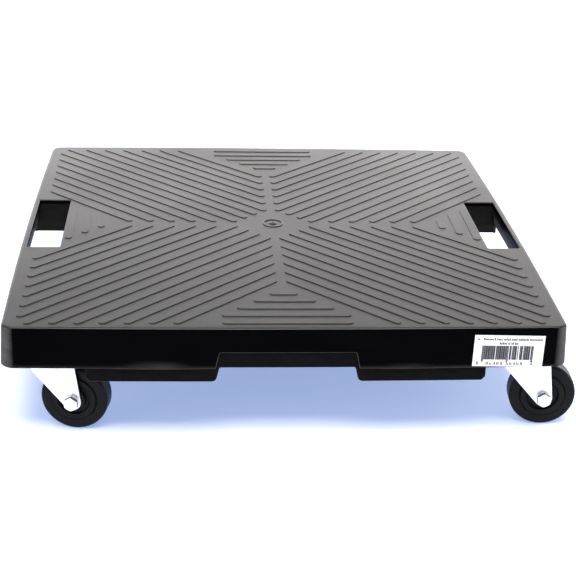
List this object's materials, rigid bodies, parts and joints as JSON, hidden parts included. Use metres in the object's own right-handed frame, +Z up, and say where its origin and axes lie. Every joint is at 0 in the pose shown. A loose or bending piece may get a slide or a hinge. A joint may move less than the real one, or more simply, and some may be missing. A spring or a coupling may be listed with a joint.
{
  "type": "furniture dolly",
  "caption": "Square moulded plastic dolly deck with raised anti-slip bars, side hand slots and notched end skirts, on plate-mounted swivel casters with hard wheels.",
  "frame": {"origin": "on the floor, below the middle of the overall box at rest, which is 7 mm to the right of the deck's own middle because the front right wheel trails out past the deck", "axes": "+Z up; +Y from the labelled front skirt to the rear skirt; +X from the left hand slot to the right one"},
  "size_m": [0.4455, 0.4312, 0.0951],
  "materials": {
    "deck_plastic": "black moulded polypropylene with a fine satin grain",
    "label_paper": "white coated label stock with printed bars",
    "zinc_steel": "bright zinc-plated pressed steel",
    "wheel_plastic": "dark grey hard plastic, slightly scuffed",
    "bearing_ball": "polished steel with a film of grease"
  },
  "bodies": {
    "deck": {"deck": "deck_plastic", "barcode_label": "label_paper", "front_left_mounting_plate": "zinc_steel", "front_left_kingpin": "zinc_steel", "front_left_race_cup": "zinc_steel", "front_left_plate_screw_1": "zinc_steel", "front_left_plate_screw_2": "zinc_steel", "front_left_plate_screw_3": "zinc_steel", "front_left_plate_screw_4": "zinc_steel", "front_right_mounting_plate": "zinc_steel", "front_right_kingpin": "zinc_steel", "front_right_race_cup": "zinc_steel", "front_right_plate_screw_1": "zinc_steel", "front_right_plate_screw_2": "zinc_steel", "front_right_plate_screw_3": "zinc_steel", "front_right_plate_screw_4": "zinc_steel", "rear_right_mounting_plate": "zinc_steel", "rear_right_kingpin": "zinc_steel", "rear_right_race_cup": "zinc_steel", "rear_right_plate_screw_1": "zinc_steel", "rear_right_plate_screw_2": "zinc_steel", "rear_right_plate_screw_3": "zinc_steel", "rear_right_plate_screw_4": "zinc_steel", "rear_left_mounting_plate": "zinc_steel", "rear_left_kingpin": "zinc_steel", "rear_left_race_cup": "zinc_steel", "rear_left_plate_screw_1": "zinc_steel", "rear_left_plate_screw_2": "zinc_steel", "rear_left_plate_screw_3": "zinc_steel", "rear_left_plate_screw_4": "zinc_steel"},
    "front_left_fork": {"front_left_upper_ball_row": "bearing_ball", "front_left_lower_ball_row": "bearing_ball", "front_left_fork": "zinc_steel", "front_left_axle_sleeve": "zinc_steel", "front_left_axle_bolt": "zinc_steel", "front_left_axle_nut": "zinc_steel"},
    "front_left_wheel": {"front_left_wheel": "wheel_plastic"},
    "front_right_fork": {"front_right_upper_ball_row": "bearing_ball", "front_right_lower_ball_row": "bearing_ball", "front_right_fork": "zinc_steel", "front_right_axle_sleeve": "zinc_steel", "front_right_axle_bolt": "zinc_steel", "front_right_axle_nut": "zinc_steel"},
    "front_right_wheel": {"front_right_wheel": "wheel_plastic"},
    "rear_right_fork": {"rear_right_upper_ball_row": "bearing_ball", "rear_right_lower_ball_row": "bearing_ball", "rear_right_fork": "zinc_steel", "rear_right_axle_sleeve": "zinc_steel", "rear_right_axle_bolt": "zinc_steel", "rear_right_axle_nut": "zinc_steel"},
    "rear_right_wheel": {"rear_right_wheel": "wheel_plastic"},
    "rear_left_fork": {"rear_left_upper_ball_row": "bearing_ball", "rear_left_lower_ball_row": "bearing_ball", "rear_left_fork": "zinc_steel", "rear_left_axle_sleeve": "zinc_steel", "rear_left_axle_bolt": "zinc_steel", "rear_left_axle_nut": "zinc_steel"},
    "rear_left_wheel": {"rear_left_wheel": "wheel_plastic"}
  },
  "joints": [
    {"name": "front_left_swivel", "type": "hinge", "parent": "deck", "child": "front_left_fork", "pos_m": [-0.1885, -0.1815, 0.0577], "axis": [0, 0, 1], "continuous": true},
    {"name": "front_left_wheel_spin", "type": "hinge", "parent": "front_left_fork", "child": "front_left_wheel", "pos_m": [-0.16681, -0.18575, 0.026], "axis": [0.1925, 0.9813, 0], "continuous": true},
    {"name": "front_right_swivel", "type": "hinge", "parent": "deck", "child": "front_right_fork", "pos_m": [0.1745, -0.1815, 0.0577], "axis": [0, 0, 1], "continuous": true},
    {"name": "front_right_wheel_spin", "type": "hinge", "parent": "front_right_fork", "child": "front_right_wheel", "pos_m": [0.19653, -0.18331, 0.026], "axis": [0.0819, 0.9966, 0], "continuous": true},
    {"name": "rear_right_swivel", "type": "hinge", "parent": "deck", "child": "rear_right_fork", "pos_m": [0.1745, 0.1815, 0.0577], "axis": [0, 0, 1], "continuous": true},
    {"name": "rear_right_wheel_spin", "type": "hinge", "parent": "rear_right_fork", "child": "rear_right_wheel", "pos_m": [0.15281, 0.18575, 0.026], "axis": [-0.1925, -0.9813, 0], "continuous": true},
    {"name": "rear_left_swivel", "type": "hinge", "parent": "deck", "child": "rear_left_fork", "pos_m": [-0.1885, 0.1815, 0.0577], "axis": [0, 0, 1], "continuous": true},
    {"name": "rear_left_wheel_spin", "type": "hinge", "parent": "rear_left_fork", "child": "rear_left_wheel", "pos_m": [-0.16647, 0.17969, 0.026], "axis": [0.0819, 0.9966, 0], "continuous": true}
  ]
}
